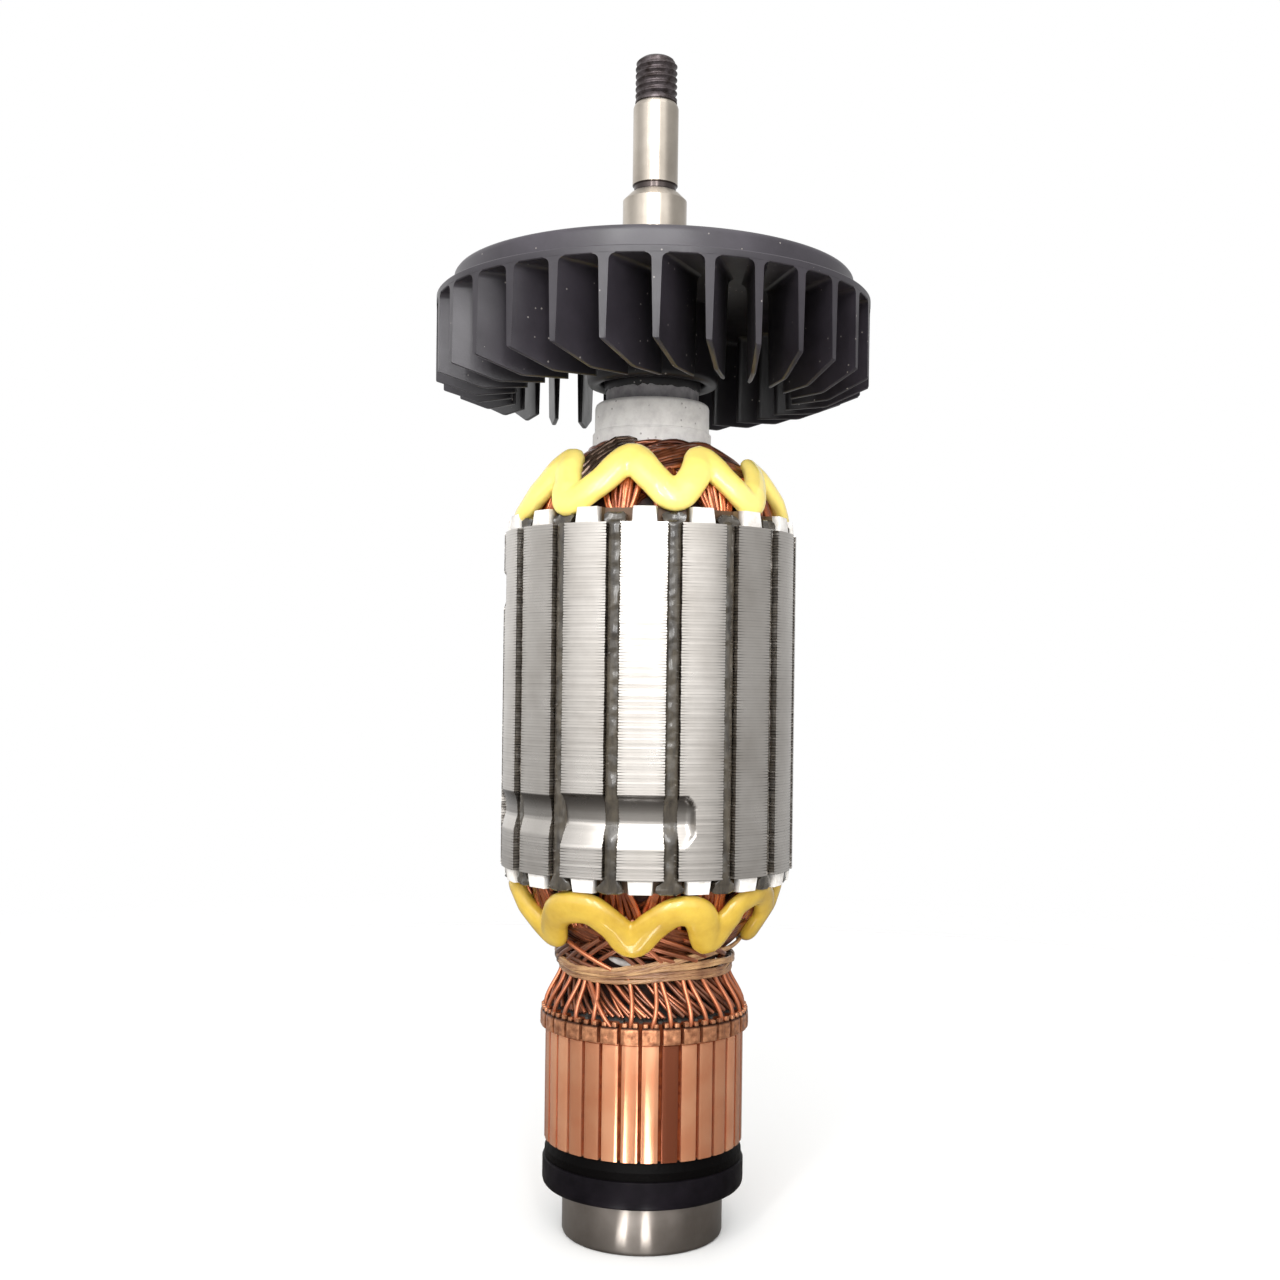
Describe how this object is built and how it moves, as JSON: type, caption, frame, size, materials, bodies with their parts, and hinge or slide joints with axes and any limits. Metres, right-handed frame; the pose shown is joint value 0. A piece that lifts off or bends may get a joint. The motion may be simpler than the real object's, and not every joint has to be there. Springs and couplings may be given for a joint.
{
  "type": "motor armature",
  "caption": "Wound armature of a hand-held grinder motor: slotted core, windings with resin beads, commutator, moulded cooling fan, ball bearing and stepped, threaded shaft.",
  "frame": {"origin": "centre of the lower face of the commutator-end bearing, on the shaft's axis", "axes": "+Z along the shaft towards the thread; the front with the main balance cut faces -Y"},
  "size_m": [0.0808, 0.0808, 0.2198],
  "materials": {
    "shaft_steel": "ground steel, satin",
    "white_moulding": "white fibre-filled moulding with grey specks",
    "laminations": "stacked and turned electrical sheet, fine lines across",
    "white_fibre": "white fibre sheet",
    "liner_sheet": "varnished insulating sheet",
    "slot_resin": "grey-brown, glossy with varnish",
    "winding_copper": "enamelled copper wire, dark with varnish",
    "yellow_resin": "pale yellow cured resin, smooth",
    "lead_copper": "bright enamelled copper wire",
    "tan_cord": "flat tan cord, varnished",
    "bush_steel": "turned steel",
    "dark_moulding": "dark filled moulding",
    "black_plastic": "black, slightly glossy",
    "bearing_steel": "ground and polished bearing steel",
    "ball_steel": "mirror polished",
    "cage_plastic": "natural moulded plastic",
    "seal_rubber": "black rubber",
    "fan_plastic": "black glass-filled moulding, low gloss",
    "bar_copper": "turned copper, polished"
  },
  "bodies": {
    "rotor": {"shaft": "shaft_steel", "shaft_insulation": "white_moulding", "core_stack": "laminations", "end_insulator_commutator_side": "white_fibre", "end_insulator_fan_side": "white_fibre", "slot_liners": "liner_sheet", "slot_wedges": "slot_resin", "slot_coil_sides": "winding_copper", "end_winding_commutator_side": "winding_copper", "end_winding_fan_side": "winding_copper", "resin_bead_commutator_side": "yellow_resin", "resin_bead_fan_side": "yellow_resin", "commutator_leads": "lead_copper", "lacing_cord": "tan_cord", "commutator_bush": "bush_steel", "commutator_moulding": "dark_moulding", "dust_ring": "black_plastic", "bearing_inner_ring": "bearing_steel", "fan_bush": "bush_steel", "fan": "fan_plastic", "commutator_bar_01": "bar_copper", "commutator_bar_02": "bar_copper", "commutator_bar_03": "bar_copper", "commutator_bar_04": "bar_copper", "commutator_bar_05": "bar_copper", "commutator_bar_06": "bar_copper", "commutator_bar_07": "bar_copper", "commutator_bar_08": "bar_copper", "commutator_bar_09": "bar_copper", "commutator_bar_10": "bar_copper", "commutator_bar_11": "bar_copper", "commutator_bar_12": "bar_copper", "commutator_bar_13": "bar_copper", "commutator_bar_14": "bar_copper", "commutator_bar_15": "bar_copper", "commutator_bar_16": "bar_copper", "commutator_bar_17": "bar_copper", "commutator_bar_18": "bar_copper", "commutator_bar_19": "bar_copper", "commutator_bar_20": "bar_copper", "commutator_bar_21": "bar_copper", "commutator_bar_22": "bar_copper", "commutator_bar_23": "bar_copper", "commutator_bar_24": "bar_copper", "commutator_bar_25": "bar_copper", "commutator_bar_26": "bar_copper", "commutator_bar_27": "bar_copper", "commutator_bar_28": "bar_copper", "commutator_bar_29": "bar_copper", "commutator_bar_30": "bar_copper", "commutator_bar_31": "bar_copper", "commutator_bar_32": "bar_copper"},
    "bearing_outer": {"bearing_outer_ring": "bearing_steel", "bearing_seal_lower": "seal_rubber", "bearing_seal_upper": "seal_rubber"},
    "bearing_rolling": {"bearing_balls": "ball_steel", "bearing_cage": "cage_plastic"}
  },
  "joints": [
    {"name": "bearing_outer_turn", "type": "hinge", "parent": "rotor", "child": "bearing_outer", "pos_m": [0, 0, 0.0045], "axis": [0, 0, 1], "continuous": true},
    {"name": "bearing_rolling_turn", "type": "hinge", "parent": "rotor", "child": "bearing_rolling", "pos_m": [0, 0, 0.0045], "axis": [0, 0, 1], "continuous": true}
  ],
  "couplings": [
    {"joint": "bearing_rolling_turn", "follows": "bearing_outer_turn", "ratio": 0.619}
  ]
}
